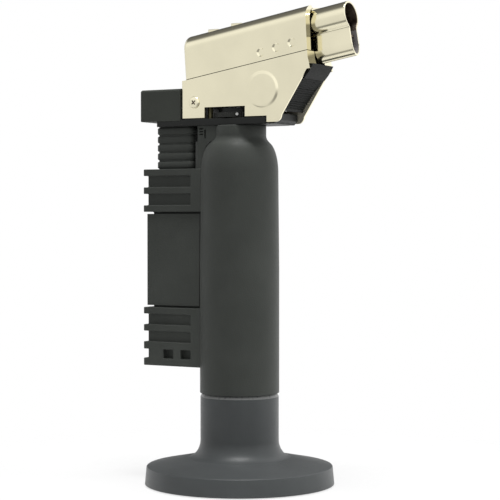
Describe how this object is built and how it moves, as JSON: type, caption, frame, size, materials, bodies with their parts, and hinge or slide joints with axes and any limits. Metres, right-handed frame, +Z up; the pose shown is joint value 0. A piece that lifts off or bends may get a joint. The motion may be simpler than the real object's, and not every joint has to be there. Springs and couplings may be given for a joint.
{
  "type": "butane micro torch",
  "caption": "Bench butane torch: cylindrical gas tank on a round lift-off stand, finned igniter housing behind, plated head with pull trigger, flame wheel and keyhole nozzle.",
  "frame": {"origin": "centre of the stand's underside, on the tank's axis", "axes": "+X towards the nozzle, +Y to the torch's left seen from behind, +Z up along the tank"},
  "size_m": [0.0862, 0.0698, 0.1748],
  "materials": {
    "tank_coat": "fine matte texture, dark grey",
    "stand_coat": "fine matte texture, slightly bluish dark grey",
    "black_plastic": "moulded black plastic, satin",
    "champagne_plate": "warm nickel plate, satin bright",
    "brass": "turned brass",
    "steel": "bright steel",
    "heated_steel": "steel with brown heat tint",
    "rubber": "matte rubber",
    "ceramic": null,
    "felt": "felt wick"
  },
  "bodies": {
    "stand": {"stand_foot": "stand_coat", "stand_sole": "rubber"},
    "torch": {"stand_grip_ring": "rubber", "tank_shell": "tank_coat", "tank_end_plug": "steel", "tank_end_seal": "rubber", "fill_valve_body": "brass", "fill_valve_spring": "steel", "valve_body": "brass", "valve_spring": "steel", "valve_seat_seal": "rubber", "gas_wick": "felt", "wheel_clip": "steel", "gas_tube": "brass", "ignition_wire": "rubber", "rear_housing": "tank_coat", "label_panel": "tank_coat", "piezo_body": "black_plastic", "ribbed_sleeve": "tank_coat", "head_frame": "black_plastic", "rear_cap": "black_plastic", "lower_shell": "champagne_plate", "upper_shell": "champagne_plate", "shell_screw_near": "steel", "shell_screw_far": "steel", "nozzle_guard": "champagne_plate", "guard_divider": "champagne_plate", "mixing_tube": "steel", "flame_holder": "heated_steel", "gas_jet": "brass", "electrode": "steel", "electrode_insulator": "ceramic", "burner_cradle": "black_plastic", "trigger_pin": "steel", "trigger_spring": "steel"},
    "trigger": {"trigger": "black_plastic"},
    "cam_slide": {"push_slide": "steel"},
    "igniter_plunger": {"piezo_plunger": "black_plastic"},
    "main_valve_stem": {"valve_stem": "steel"},
    "wheel": {"flame_wheel": "black_plastic"},
    "fill_stem": {"fill_valve_stem": "steel"}
  },
  "joints": [
    {"name": "stand_lift", "type": "slide", "parent": "stand", "child": "torch", "axis": [0, 0, 1], "range_m": [0, 0.03]},
    {"name": "trigger_pull", "type": "hinge", "parent": "torch", "child": "trigger", "pos_m": [0.0244, 0, 0.148], "axis": [0, 1, 0], "range_deg": [0, 18], "stiffness_Nm_per_rad": 0.12, "springref_deg": -5.73, "deforming": ["trigger_spring"]},
    {"name": "slide_push", "type": "slide", "parent": "torch", "child": "cam_slide", "axis": [-1, 0, 0], "range_m": [0, 0.0018]},
    {"name": "plunger_press", "type": "slide", "parent": "torch", "child": "igniter_plunger", "axis": [0, 0, -1], "range_m": [0, 0.00313]},
    {"name": "valve_lift", "type": "slide", "parent": "torch", "child": "main_valve_stem", "axis": [0, 0, 1], "range_m": [0, 0.00077], "deforming": ["valve_spring"]},
    {"name": "flame_wheel_turn", "type": "hinge", "parent": "torch", "child": "wheel", "pos_m": [0, 0, 0.1356], "axis": [0, 0, 1], "range_deg": [-100, 100]},
    {"name": "fill_valve_press", "type": "slide", "parent": "torch", "child": "fill_stem", "axis": [0, 0, 1], "range_m": [0, 0.002], "stiffness_N_per_m": 300, "springref_m": -0.001, "deforming": ["fill_valve_spring"]}
  ],
  "couplings": [
    {"joint": "trigger_pull", "follows": "slide_push", "rad_per_m": 174.53},
    {"joint": "plunger_press", "follows": "slide_push", "ratio": 1.7321},
    {"joint": "valve_lift", "follows": "slide_push", "ratio": 0.42446}
  ]
}
